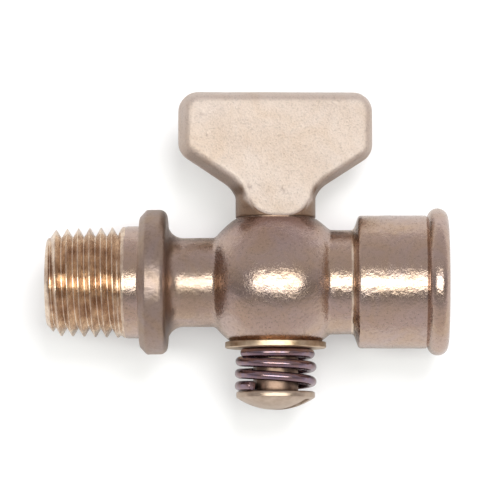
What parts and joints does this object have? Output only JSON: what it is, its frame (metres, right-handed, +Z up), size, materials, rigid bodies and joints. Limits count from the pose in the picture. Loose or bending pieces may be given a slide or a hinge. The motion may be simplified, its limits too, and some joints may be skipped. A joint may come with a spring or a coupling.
{
  "type": "ground key plug valve",
  "caption": "Brass ground-key plug cock: male pipe thread, ball body, female socket, tee handle, and a spring, washer and screw below.",
  "frame": {"origin": "centre of the male inlet's end face, on the pipe axis", "axes": "+X along the flow from the male inlet to the female outlet, +Z up the key's axis to the handle"},
  "size_m": [0.05, 0.0186, 0.0399],
  "materials": {
    "body_brass": "forged, bright dipped, darkened",
    "key_brass": "forged, fine blasted",
    "washer_brass": "stamped",
    "spring_wire": "tempered wire, dark",
    "screw_brass": "turned"
  },
  "bodies": {
    "valve_body": {"valve_body": "body_brass"},
    "washer": {"keyed_washer": "washer_brass"},
    "key": {"plug_key": "key_brass", "retaining_screw": "screw_brass", "compression_spring": "spring_wire"}
  },
  "joints": [
    {"name": "key_turn", "type": "hinge", "parent": "valve_body", "child": "washer", "pos_m": [0.0285, 0, 0], "axis": [0, 0, 1], "continuous": true},
    {"name": "key_lift", "type": "slide", "parent": "washer", "child": "key", "axis": [0, 0, 1], "range_m": [0, 0.0005], "stiffness_N_per_m": 7000, "springref_m": -0.0015, "deforming": ["compression_spring"]}
  ]
}
